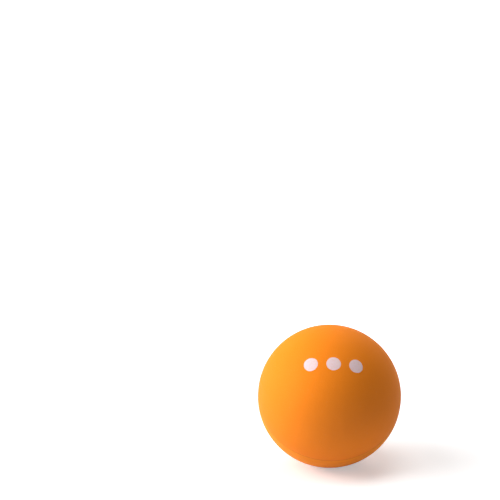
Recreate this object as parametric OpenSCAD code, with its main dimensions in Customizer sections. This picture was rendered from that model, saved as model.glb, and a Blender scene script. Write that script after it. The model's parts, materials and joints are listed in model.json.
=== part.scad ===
// Squash ball: two moulded rubber half shells, cemented rim to rim.
// Millimetres, +Z up. The origin is the ball's centre.
// Each section is drawn with the seam's axis upright and the seam at height zero, then turned to lie.

/* [Ball] */
// Outside diameter of the finished ball
ball_d = 60; // [40:0.5:80]
// Thickness of the rubber wall
wall_t = 3.5; // [2.5:0.1:6]

/* [Seam] */
// Thickness of the cured cement between the two rims
cement_t = 0.2; // [0.1:0.05:0.4]
// Leg of the 45 degree bevel that buffing leaves on each rim's inner edge
bevel_leg = 0.5; // [0.2:0.05:1]
// How far the cement's inner bead stands into the hollow from the tops of the two bevels
bead_rise = 0.4; // [0.1:0.05:0.8]
// Width of the shallow witness line around the outside of the seam
witness_w = 1.0; // [0.5:0.05:1.6]
// Depth of the witness line below the round of the ball
witness_depth = 0.12; // [0.06:0.01:0.2]

/* [Lie] */
// Lean of the marked pole from straight up towards the front, in degrees
lie_tilt = 45; // [0:1:90]

/* [Hidden] */
$fn = 180;

// How far a cut runs past the edge that it takes off
overrun = 1;

ball_r = ball_d / 2;
hollow_r = ball_r - wall_t;

// Each rim's face stands half the cement off the seam's plane, and meets the hollow at rim_in_x.
rim_z = cement_t / 2;
rim_in_x = sqrt(hollow_r ^ 2 - rim_z ^ 2);

// The bevel starts at bevel_x on the rim's face. Along it x + z stays the same, which gives the point
// where it runs out into the hollow's sphere.
bevel_x = rim_in_x + bevel_leg;
bevel_sum = bevel_x + rim_z;
bevel_difference = sqrt(2 * hollow_r ^ 2 - bevel_sum ^ 2);
bevel_top_x = (bevel_sum + bevel_difference) / 2;
bevel_top_z = (bevel_sum - bevel_difference) / 2;

// Radius of an arc from its half chord and its rise
function arc_r(half_chord, rise) = (half_chord ^ 2 + rise ^ 2) / (2 * rise);

// The bead's arc runs between the tops of the two bevels.
bead_r = arc_r(bevel_top_z, bead_rise);
bead_tip_x = bevel_top_x - bead_rise;
bead_centre_x = bead_tip_x + bead_r;

// The cement's wedge follows both bevels inwards, past the tip of the bead.
wedge_x = bead_tip_x - overrun;
wedge_z = bevel_sum - wedge_x;

// The witness line's arc runs between its two edges on the ball's sphere.
witness_edge_x = sqrt(ball_r ^ 2 - (witness_w / 2) ^ 2);
witness_floor_x = ball_r - witness_depth;
witness_r = arc_r(witness_w / 2, witness_edge_x - witness_floor_x);

marked_colour = [0.90, 0.53, 0.16];
plain_colour = [0.92, 0.57, 0.19];
cement_colour = [0.72, 0.38, 0.12];

// Takes the inner edge off a rim, at 45 degrees through bevel_x on its face
module bevel_cut() {
    polygon([
        [bevel_x + overrun, rim_z - overrun],
        [rim_in_x - overrun, rim_z - overrun],
        [rim_in_x - overrun, rim_z + bevel_leg + overrun]
    ]);
}

// One round cut makes the witness line in both rims' outer edges and in the end of the cement
module witness_cut() {
    translate([witness_floor_x + witness_r, 0])
        circle(witness_r);
}

// Half shell in section: a quarter ring from the rim's face to the pole
module shell_section() {
    difference() {
        intersection() {
            difference() {
                circle(ball_r);
                circle(hollow_r);
            }
            translate([0, rim_z])
                square(ball_r);
        }
        bevel_cut();
        witness_cut();
    }
}

// Clears the hollow in front of the bead: all that lies inwards of the bead's centre and outside its arc
module bead_cut() {
    difference() {
        translate([wedge_x - overrun, -wedge_z - overrun])
            square([bead_centre_x - wedge_x + overrun, 2 * (wedge_z + overrun)]);
        translate([bead_centre_x, 0])
            circle(bead_r);
    }
}

// Cement in section: the film between the rims and the wedge between the bevels, rounded into a bead
module cement_section() {
    difference() {
        polygon([
            [wedge_x, wedge_z],
            [bevel_x, rim_z],
            [ball_r, rim_z],
            [ball_r, -rim_z],
            [bevel_x, -rim_z],
            [wedge_x, -wedge_z]
        ]);
        bead_cut();
        witness_cut();
    }
}

// Turns what was drawn with the seam's axis upright to the way that the ball lies
module as_it_lies() {
    rotate([lie_tilt, 0, 0])
        children();
}

module marked_half_shell() {
    color(marked_colour)
        as_it_lies()
            rotate_extrude()
                shell_section();
}

module plain_half_shell() {
    color(plain_colour)
        as_it_lies()
            mirror([0, 0, 1])
                rotate_extrude()
                    shell_section();
}

module seam_cement() {
    color(cement_colour)
        as_it_lies()
            rotate_extrude()
                cement_section();
}

marked_half_shell();
plain_half_shell();
seam_cement();
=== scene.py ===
"""A hollow rubber squash ball for beginners: two half shells, their cement and a printed mark."""
import json
import math

import bpy
import numpy as np
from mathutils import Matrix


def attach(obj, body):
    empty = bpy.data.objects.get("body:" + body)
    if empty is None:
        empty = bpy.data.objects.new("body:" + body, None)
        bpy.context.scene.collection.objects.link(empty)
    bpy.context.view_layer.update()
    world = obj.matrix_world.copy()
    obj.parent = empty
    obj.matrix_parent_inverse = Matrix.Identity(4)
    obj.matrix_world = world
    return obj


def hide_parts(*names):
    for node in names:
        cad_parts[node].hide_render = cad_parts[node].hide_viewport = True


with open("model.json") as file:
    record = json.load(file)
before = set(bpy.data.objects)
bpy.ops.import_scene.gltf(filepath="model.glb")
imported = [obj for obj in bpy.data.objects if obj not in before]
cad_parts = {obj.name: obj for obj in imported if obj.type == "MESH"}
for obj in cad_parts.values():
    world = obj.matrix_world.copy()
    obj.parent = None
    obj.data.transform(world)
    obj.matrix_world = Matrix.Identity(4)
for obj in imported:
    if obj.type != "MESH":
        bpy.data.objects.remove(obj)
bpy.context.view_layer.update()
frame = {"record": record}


# The marked half shell is one of two cups pressed from orange rubber in a heated mould. Its rim is buffed
# flat for the cement and loses its inner edge to a bevel. The skin is tumbled matt when the ball is whole.
# As the ball lies, this shell's pole, which carries the print, leans from straight up towards the front.

MM = 0.001
SEGMENTS = 448
OUTER_RINGS = 132
HOLLOW_RINGS = 48
RIM_RINGS = 4
LEAN = math.radians(45)

ball_r = max(frame["record"]["size"]["bbox_m"]) / 2
wall_t = 3.5 * MM
hollow_r = ball_r - wall_t
cement_t = 0.2 * MM
rim_z = cement_t / 2
bevel_leg = 0.5 * MM
witness_half_w = 0.5 * MM
witness_depth = 0.12 * MM
land_half_w = 1.8 * MM
land_fade = 0.7 * MM
land_depth = 0.03 * MM
seam_fade = 4 * MM
row_crowding = 1.6
sharp_edge = math.radians(35)

seam_axis = (0, -math.sin(LEAN), math.cos(LEAN))
scratch_scale_along = 250.0
scratch_scale_across = 9000.0
grain_depth = 0.06 * MM
powder_pale = (0.95, 0.50, 0.25, 1)

# The bevel runs at 45 degrees from bevel_x on the rim's face, so along it the distance from the seam's
# axis and the height add up to the same, until it meets the hollow's sphere.
bevel_x = math.sqrt(hollow_r ** 2 - rim_z ** 2) + bevel_leg
bevel_sum = bevel_x + rim_z
bevel_difference = math.sqrt(2 * hollow_r ** 2 - bevel_sum ** 2)
bevel_top_x = (bevel_sum + bevel_difference) / 2
bevel_top_z = (bevel_sum - bevel_difference) / 2


def waves(angle, counts, heights, starts):
    """Sum of sines round a circle: for each count, its height times sin(count x angle + start)."""
    each = zip(counts, heights, starts)
    return sum(height * np.sin(count * angle + start) for count, height, start in each)


# The angles round the seam's axis, and what is uneven there: how far the seam strays from a true circle,
# and the share of their full depth that the witness line and the land have.
seam_angle = np.linspace(0, 2 * math.pi, SEGMENTS, endpoint=False)
wander_heights = (0.03 * MM, 0.02 * MM, 0.012 * MM, 0.006 * MM)
seam_wander = waves(seam_angle, (2, 5, 13, 29), wander_heights, (0.4, 2.1, 4.0, 1.3))
witness_share = 1 + waves(seam_angle, (3, 8, 19, 41), (0.12, 0.10, 0.08, 0.06), (1.0, 3.3, 0.2, 5.1))
land_share = 1 + waves(seam_angle, (4, 9, 17, 33), (0.25, 0.20, 0.15, 0.10), (2.6, 0.9, 3.7, 1.8))


def skin_radius(off_seam):
    """Radius of the ball's skin at an arc distance from the seam: the ball's radius less two raised
    cosines, both a little uneven round the ball. The narrow one is the witness line. The wide one is the
    land where the flash was ground away. It is flat up to land_half_w less land_fade, and gone at
    land_half_w plus land_fade."""
    off = np.abs(off_seam)
    line = np.clip(off / witness_half_w, 0, 1)
    edge = np.clip((off - land_half_w + land_fade) / (2 * land_fade), 0, 1)
    dip = (witness_depth - land_depth) * witness_share * (1 + np.cos(math.pi * line)) / 2
    return ball_r - dip - land_depth * land_share * (1 + np.cos(math.pi * edge)) / 2


def lean_over(x, y, z):
    """Points worked out with the seam's axis upright, turned by LEAN about X to lie as the ball does."""
    lying_y = y * math.cos(LEAN) - z * math.sin(LEAN)
    lying_z = y * math.sin(LEAN) + z * math.cos(LEAN)
    return np.stack([x, lying_y, lying_z], axis=-1)


def round_the_axis(reach, height):
    """Points at that reach from the seam's axis and that height over its plane, each carried round by
    seam_angle. The height follows the seam's wander, which dies away from the seam as a bell curve."""
    height = height + seam_wander * np.exp(-((height / seam_fade) ** 2))
    return lean_over(reach * np.cos(seam_angle), reach * np.sin(seam_angle), height)


def half_shell_points(side):
    """Rows from the outer pole down the skin to the rim, in along the rim's face, up the bevel and over the
    hollow to its pole. Rows crowd towards the seam as a power of their share of the way. side is 1 for the
    shell above the seam and -1 for the one below."""
    quarter = ball_r * math.pi / 2
    off_seam = rim_z + (quarter - rim_z) * np.linspace(1, 0, OUTER_RINGS)[:, None] ** row_crowding
    radius = skin_radius(off_seam)
    latitude = off_seam / ball_r
    skin_reach = radius * np.cos(latitude)
    skin_height = radius * np.sin(latitude)
    across = np.linspace(0, 1, RIM_RINGS)[1:, None]
    rim_reach = skin_reach[-1] + (bevel_x - skin_reach[-1]) * across
    rim_height = skin_height[-1] + (rim_z - skin_height[-1]) * across
    bevel_top = math.asin(bevel_top_z / hollow_r)
    turn = np.linspace(bevel_top, math.pi / 2, HOLLOW_RINGS)[:, None]
    hollow_reach = np.tile(hollow_r * np.cos(turn), SEGMENTS)
    hollow_height = np.tile(hollow_r * np.sin(turn), SEGMENTS)
    reach = np.vstack([skin_reach, rim_reach, hollow_reach])
    height = np.vstack([skin_height, rim_height, hollow_height])
    return round_the_axis(reach, side * height)


def close_ends(points):
    """Vertices of a grid of points whose first row and last row are each a single point repeated, with that
    point kept once, and the grid of their numbers."""
    rows, columns = points.shape[:2]
    vertices = np.vstack([points[0, :1], points[1:-1].reshape(-1, 3), points[-1, :1]])
    index = np.zeros((rows, columns), int)
    index[1:-1] = 1 + np.arange((rows - 2) * columns).reshape(rows - 2, columns)
    index[-1] = len(vertices) - 1
    return vertices, index


def grid_faces(index, inside_out=False):
    """Quads of a grid of vertex numbers, row by row, closed round its columns. Where a row is a single
    point repeated, its quads become triangles. inside_out turns every face over."""
    here = index[:-1]
    below = index[1:]
    quads = np.stack([here, below, np.roll(below, -1, axis=1), np.roll(here, -1, axis=1)], axis=-1)
    quads = quads.reshape(-1, 4)
    if inside_out:
        quads = quads[:, ::-1]
    return [list(dict.fromkeys(quad)) for quad in quads.tolist()]


def smooth_piece(name, vertices, faces, material):
    """A mesh object of that name, smooth but for its sharp edges."""
    mesh = bpy.data.meshes.new(name)
    mesh.from_pydata(vertices, [], faces)
    mesh.shade_smooth()
    mesh.set_sharp_from_angle(angle=sharp_edge)
    mesh.materials.append(material)
    piece = bpy.data.objects.new(name, mesh)
    bpy.context.scene.collection.objects.link(piece)
    return piece


def half_shell(name, side, material):
    """The closed cup from half_shell_points, with one vertex at each of its two poles."""
    vertices, index = close_ends(half_shell_points(side))
    return smooth_piece(name, vertices, grid_faces(index, side < 0), material)


def set_inputs(tree, node, inputs):
    """Each input of the node, by its name or number, set to a value or joined to another node's output."""
    for socket, value in inputs.items():
        if isinstance(value, bpy.types.NodeSocket):
            tree.links.new(value, node.inputs[socket])
        else:
            node.inputs[socket].default_value = value


def add_node(tree, kind, inputs, **settings):
    """A new shader node of that kind, with its inputs and settings."""
    made = tree.nodes.new("ShaderNode" + kind)
    for setting, value in settings.items():
        setattr(made, setting, value)
    set_inputs(tree, made, inputs)
    return made


def new_material(name):
    """A material with its node tree, its surface shader and each point's place in Object coordinates."""
    material = bpy.data.materials.new(name)
    material.use_nodes = True
    tree = material.node_tree
    place = add_node(tree, "TexCoord", {}).outputs["Object"]
    return material, tree, tree.nodes["Principled BSDF"], place


def noise(tree, place, scale, detail):
    """Soft noise from 0 to 1 with about scale lumps to the metre. More detail puts finer lumps on them."""
    return add_node(tree, "TexNoise", {"Vector": place, "Scale": scale, "Detail": detail}).outputs["Fac"]


def number_node(tree, operation, *numbers):
    """What a Math node makes of one or two numbers."""
    return add_node(tree, "Math", dict(enumerate(numbers)), operation=operation).outputs[0]


def vector_node(tree, operation, inputs):
    """The outputs of a Vector Math node: Vector, or Value where it makes a number."""
    return add_node(tree, "VectorMath", inputs, operation=operation).outputs


def ramp(tree, value, low, high, at_low, at_high, kind="LINEAR"):
    """A number that is at_low until the value is low, runs on from there, and is at_high from high on."""
    inputs = {"Value": value, "From Min": low, "From Max": high, "To Min": at_low, "To Max": at_high}
    return add_node(tree, "MapRange", inputs, interpolation_type=kind).outputs["Result"]


def blend(tree, share, first, second):
    """The colour at that share of the way from the first to the second. A Mix node has its colours at
    inputs 6 and 7 and output 2, and its plain numbers at inputs 2 and 3 and output 0."""
    return add_node(tree, "Mix", {0: share, 6: first, 7: second}, data_type="RGBA").outputs[2]


def bumps(tree, height, strength, depth):
    """Normals that tilt as if the height stood up from the surface by that depth, times the strength."""
    inputs = {"Height": height, "Strength": strength, "Distance": depth}
    return add_node(tree, "Bump", inputs).outputs["Normal"]


def moulded_rubber(name, darker, lighter):
    """Matt rubber between two near shades: faint clouds in the pigment, a tumbled grain, a few pale specks
    of mould powder, and on the seam's land fine scratches that run with the seam."""
    material, tree, surface, place = new_material(name)
    clouds = noise(tree, place, 60.0, 3.0)
    mottle = noise(tree, place, 1100.0, 2.0)
    grain = noise(tree, place, 4200.0, 2.0)
    powder = noise(tree, place, 2300.0, 1.0)
    pigment = blend(tree, clouds, (*darker, 1), (*lighter, 1))
    speck = ramp(tree, powder, 0.70, 0.80, 0.0, 0.2)

    over_seam = vector_node(tree, "DOT_PRODUCT", {0: place, 1: seam_axis})["Value"]
    off = number_node(tree, "ABSOLUTE", over_seam)
    on_land = ramp(tree, off, land_half_w - land_fade, land_half_w + land_fade, 1.0, 0.0, "SMOOTHSTEP")

    # Noise on a place that changes slowly along the seam and fast across it is drawn out into scratches.
    along = vector_node(tree, "SCALE", {0: place, "Scale": scratch_scale_along})["Vector"]
    steep = number_node(tree, "MULTIPLY", over_seam, scratch_scale_across)
    across = vector_node(tree, "SCALE", {0: seam_axis, "Scale": steep})["Vector"]
    drawn_out = vector_node(tree, "ADD", {0: along, 1: across})["Vector"]
    scratches = noise(tree, drawn_out, 1.0, 2.0)

    tooth = number_node(tree, "ADD", mottle, grain)
    ground = number_node(tree, "MULTIPLY", tooth, scratches)
    height = add_node(tree, "Mix", {0: on_land, 2: tooth, 3: ground}, data_type="FLOAT").outputs[0]
    set_inputs(tree, surface, {
        "Base Color": blend(tree, speck, pigment, powder_pale),
        "Normal": bumps(tree, height, 0.7, grain_depth),
        "Roughness": ramp(tree, grain, 0.0, 1.0, 0.64, 0.80),
        "Specular IOR Level": 0.25,
    })
    return material


marked_rubber = moulded_rubber("marked_rubber", (0.930, 0.240, 0.0110), (0.970, 0.256, 0.0138))
marked_shell = half_shell("marked_shell", 1, marked_rubber)
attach(marked_shell, "root")
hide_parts("marked_half_shell")


# The plain half shell comes from the same mould as the marked one, and its rubber is a shade lighter and
# yellower than the marked one's. Nothing is printed on it. The two are pressed rim to rim while the cement
# between them cures.

plain_rubber = moulded_rubber("plain_rubber", (0.945, 0.284, 0.0155), (0.985, 0.304, 0.0185))
plain_shell = half_shell("plain_shell", -1, plain_rubber)
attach(plain_shell, "root")
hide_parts("plain_half_shell")


# The seam's cement is rubber solution brushed on both rims. Cured, it is a thin film between them that just
# shows as a line round the ball, and a bead where the press squeezed it past the bevels into the hollow.

BEAD_RINGS = 9
SKIN_LINE_RINGS = 5

bead_rise = 0.4 * MM
bead_r = (bevel_top_z ** 2 + bead_rise ** 2) / (2 * bead_rise)
bead_half_angle = math.asin(min(1, bevel_top_z / bead_r))
streak_depth = 0.02 * MM
cement_dark = (0.50, 0.112, 0.008, 1)
cement_light = (0.66, 0.150, 0.011, 1)


def seam_ring():
    """The cement's section carried round: out from the upper bevel to the skin, down the skin's dip, back
    in to the lower bevel and over the bead, whose arc passes through the tops of both bevels."""
    down = np.linspace(rim_z, -rim_z, SKIN_LINE_RINGS)[:, None]
    radius = skin_radius(down)
    skin_reach = radius * np.cos(down / ball_r)
    skin_height = radius * np.sin(down / ball_r)
    turn = np.linspace(-bead_half_angle, bead_half_angle, BEAD_RINGS)[:, None]
    bead_reach = np.tile(bevel_top_x - bead_rise + bead_r * (1 - np.cos(turn)), SEGMENTS)
    bead_height = np.tile(bead_r * np.sin(turn), SEGMENTS)
    corner_reach = np.full((1, SEGMENTS), bevel_x)
    corner_height = np.full((1, SEGMENTS), rim_z)
    reach = np.vstack([corner_reach, skin_reach, corner_reach, bead_reach])
    height = np.vstack([corner_height, skin_height, -corner_height, bead_height])
    return round_the_axis(reach, height)


def cured_cement():
    """Rubber solution, a little darker and redder than the shells and pulled about as it dried."""
    material, tree, surface, place = new_material("cured_cement")
    streaks = noise(tree, place, 1200.0, 3.0)
    set_inputs(tree, surface, {
        "Base Color": blend(tree, streaks, cement_dark, cement_light),
        "Normal": bumps(tree, streaks, 0.4, streak_depth),
        "Roughness": 0.7,
        "Specular IOR Level": 0.12,
    })
    return material


ring_points = seam_ring()
ring_index = np.arange(len(ring_points) * SEGMENTS).reshape(-1, SEGMENTS)
ring_index = np.vstack([ring_index, ring_index[:1]])
ring_vertices = ring_points.reshape(-1, 3)
cement_ring = smooth_piece("cement_ring", ring_vertices, grid_faces(ring_index), cured_cement())
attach(cement_ring, "root")
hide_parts("seam_cement")


# The printed mark is white ink laid on by a soft pad after tumbling: three plain dots in a row across the
# marked pole. The film is thin, a little swollen inside its edge, and lets some of the orange through.

DOT_RINGS = 26
DOT_SPOKES = 120

dot_r = 3.0 * MM
dot_pitch = 9.5 * MM
row_turn = math.radians(-3.4)
film_t = 0.025 * MM
film_sink = 0.004 * MM
film_edge_power = 24
swell_rise = 0.35
swell_place = 0.9
swell_spread = 0.06
ring_crowding = 0.7
full_ink = (0.86, 0.66, 0.69, 1)
thin_ink = (0.90, 0.42, 0.25, 1)

# For each place in the row: where the three waves of that dot's edge start.
edge_starts = {-1: (0.3, 1.9, 4.4), 0: (2.2, 0.1, 5.0), 1: (4.1, 3.0, 1.2)}


def dot_points(along, starts):
    """A round patch of the ball's skin about a point at arc distance along from the pole, row by row: over
    the film from its middle, down past its uneven edge, and back under it in two steps. Each point is the
    ball's radius plus the film's height, in a direction that leaves the middle by the row's distance on
    the skin. The height is film_t, times 1 plus a bell curve just inside the edge, and falls as a high
    power of the way out."""
    spoke = np.linspace(0, 2 * math.pi, DOT_SPOKES, endpoint=False)
    edge = dot_r * (1 + waves(spoke, (3, 7, 16), (0.008, 0.006, 0.005), starts))
    out = np.linspace(0, 1, DOT_RINGS)[:, None] ** ring_crowding
    swell = 1 + swell_rise * np.exp(-(((out - swell_place) / swell_spread) ** 2))
    fall = out ** film_edge_power
    top = film_t * swell * (1 - fall) - film_sink * fall
    under = np.full((2, 1), -film_sink)
    share = np.vstack([out, [[0.5]], [[0.0]]])
    lift = np.vstack([top, under])
    angle = share * edge / ball_r
    turn = along / ball_r
    middle = np.array([math.sin(turn), 0, math.cos(turn)])
    east = np.array([math.cos(turn), 0, -math.sin(turn)])
    north = np.array([0, 1, 0])
    sideways = np.cos(spoke)[:, None] * east + np.sin(spoke)[:, None] * north
    outward = np.cos(angle)[..., None] * middle + np.sin(angle)[..., None] * sideways
    points = (ball_r + lift)[..., None] * outward
    x = points[..., 0] * math.cos(row_turn) - points[..., 1] * math.sin(row_turn)
    y = points[..., 0] * math.sin(row_turn) + points[..., 1] * math.cos(row_turn)
    return lean_over(x, y, points[..., 2])


def pad_ink():
    """White ink with pinholes and thin places that show the orange under it."""
    material, tree, surface, place = new_material("pad_ink")
    showing = ramp(tree, noise(tree, place, 1600.0, 3.0), 0.45, 0.75, 0.0, 0.3)
    set_inputs(tree, surface, {"Base Color": blend(tree, showing, full_ink, thin_ink), "Roughness": 0.55})
    return material


dot_vertices = []
dot_faces = []
for place_in_row, starts in edge_starts.items():
    vertices, index = close_ends(dot_points(place_in_row * dot_pitch, starts))
    dot_faces += grid_faces(index + len(dot_vertices))
    dot_vertices += list(vertices)
printed_mark = smooth_piece("printed_mark", dot_vertices, dot_faces, pad_ink())
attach(printed_mark, "root")


# The floor is a plain sweep of pale card. It takes the light and the ball's shadow. What the camera and
# reflections see of it also glows, a little by the ball and fully further off, so that it reads as white.

floor_half = 6.0
glow_near = 0.05
glow_far = 0.28
glow_by_ball = 0.42


def seen_directly(tree):
    """1 for rays from the camera, off a reflection or through something clear, and 0 for all others."""
    ray = add_node(tree, "LightPath", {}).outputs
    camera_or_reflection = number_node(tree, "MAXIMUM", ray["Is Camera Ray"], ray["Is Glossy Ray"])
    return number_node(tree, "MAXIMUM", camera_or_reflection, ray["Is Transmission Ray"])


def pale_card():
    """Matt white card whose glow grows with the distance from the ball's foot."""
    material, tree, surface, place = new_material("pale_card")
    set_inputs(tree, surface, {"Base Color": (0.81, 0.81, 0.81, 1), "Roughness": 0.9})
    foot = (0, 0, -ball_r)
    off_foot = vector_node(tree, "DISTANCE", {0: place, 1: foot})["Value"]
    strength = ramp(tree, off_foot, glow_near, glow_far, glow_by_ball, 1.0, "SMOOTHSTEP")
    seen_strength = number_node(tree, "MULTIPLY", strength, seen_directly(tree))
    glow = add_node(tree, "Emission", {"Strength": seen_strength}).outputs[0]
    both = add_node(tree, "AddShader", {0: surface.outputs[0], 1: glow}).outputs[0]
    set_inputs(tree, tree.nodes["Material Output"], {"Surface": both})
    return material


corner_signs = ((-1, -1), (1, -1), (1, 1), (-1, 1))
floor_corners = [(x * floor_half, y * floor_half, -ball_r) for x, y in corner_signs]
floor = smooth_piece("floor", floor_corners, [(0, 1, 2, 3)], pale_card())


# The camera is a long lens that stands in front and looks down a little. It is placed so that the ball's
# centre and outline fall on their pixels of the photograph.

PHOTO_PX = 500
ball_centre_px = (329.4, 396.1)
ball_radius_px = 71.6
camera_depth = 1.25
camera_azimuth = -2.85
camera_elevation = 15.9


def direction(azimuth, elevation):
    """Unit vector out from the ball's centre, by angles in degrees. Azimuth 0 is in front and 90 right."""
    a = math.radians(azimuth)
    e = math.radians(elevation)
    return np.array([math.sin(a) * math.cos(e), -math.cos(a) * math.cos(e), math.sin(e)])


def looking_back(azimuth, elevation):
    """Rotation that makes a camera or lamp in that direction look back along it."""
    return math.radians(90 - elevation), 0, math.radians(azimuth)


camera_data = bpy.data.cameras.new("camera")
camera = bpy.data.objects.new("camera", camera_data)
bpy.context.scene.collection.objects.link(camera)
bpy.context.scene.camera = camera
focal_px = ball_radius_px * camera_depth / ball_r
camera_data.lens = camera_data.sensor_width * focal_px / PHOTO_PX
camera_data.clip_start = 0.05
camera_data.clip_end = 40

back = direction(camera_azimuth, camera_elevation)
right = direction(camera_azimuth + 90, 0)
up = np.cross(back, right)
metres_per_px = camera_depth / focal_px
camera.location = (
    back * camera_depth
    - right * (ball_centre_px[0] - PHOTO_PX / 2) * metres_per_px
    + up * (ball_centre_px[1] - PHOTO_PX / 2) * metres_per_px
)
camera.rotation_euler = looking_back(camera_azimuth, camera_elevation)


# The light is a ring of large soft boxes about the ball, strongest from the left. Reflections don't see
# them. The room around them is white where the camera or a reflection sees it, and gives no light itself.

lamp_distance = 0.9


def softbox(name, azimuth, elevation, side, watts):
    """A square lamp in that direction that faces the ball."""
    lamp = bpy.data.lights.new(name, "AREA")
    lamp.shape = "SQUARE"
    lamp.size = side
    lamp.energy = watts
    box = bpy.data.objects.new(name, lamp)
    box.location = lamp_distance * direction(azimuth, elevation)
    box.rotation_euler = looking_back(azimuth, elevation)
    box.visible_camera = False
    box.visible_glossy = False
    bpy.context.scene.collection.objects.link(box)


softbox("key", azimuth=-80, elevation=40, side=0.8, watts=7.5)
softbox("key_low", azimuth=-95, elevation=10, side=0.8, watts=8.1)
softbox("top", azimuth=0, elevation=89, side=0.5, watts=2.8)
softbox("edge", azimuth=115, elevation=8, side=0.5, watts=0.85)
softbox("rear", azimuth=160, elevation=40, side=0.5, watts=2.1)

room = bpy.data.worlds.new("room")
bpy.context.scene.world = room
room.use_nodes = True
room_tree = room.node_tree
room_inputs = {"Color": (1, 1, 1, 1), "Strength": seen_directly(room_tree)}
set_inputs(room_tree, room_tree.nodes["Background"], room_inputs)

bpy.context.scene.view_settings.view_transform = "Standard"
